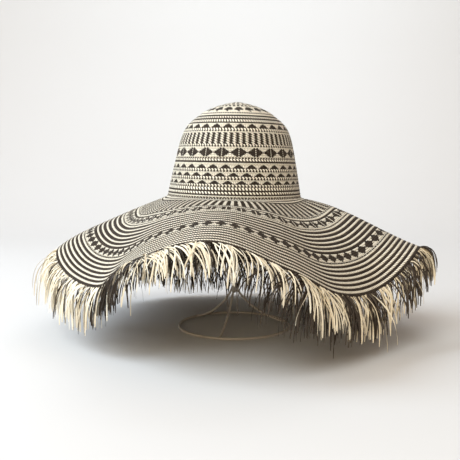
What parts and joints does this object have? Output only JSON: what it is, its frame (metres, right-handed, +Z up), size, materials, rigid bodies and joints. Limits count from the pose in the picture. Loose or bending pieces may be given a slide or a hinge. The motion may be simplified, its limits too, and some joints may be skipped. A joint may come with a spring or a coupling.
{
  "type": "fringed straw hat on wire stand",
  "caption": "Tall-crowned woven straw hat with a very wide floppy brim, black and natural bands and a long fringed rim, held up by a plain wire stand with a ring base.",
  "frame": {"origin": "middle of the whole object's underside, on the surface the stand rests on", "axes": "+Z up out of the crown, -Y towards the front of the hat, +X towards the viewer's right from the front"},
  "size_m": [0.536, 0.5102, 0.3193],
  "materials": {
    "crown_weave": "natural and black straw, twined in fine patterned rows, matt",
    "brim_weave": "natural and black straw, twined in fine striped rows, matt",
    "fringe_straw": "loose flat straw strips, natural and black, slightly glossy",
    "stand_wire": "dull grey-brown wire"
  },
  "bodies": {
    "root": {"crown": "crown_weave", "brim": "brim_weave", "fringe": "fringe_straw", "wire_stand": "stand_wire"}
  },
  "joints": []
}
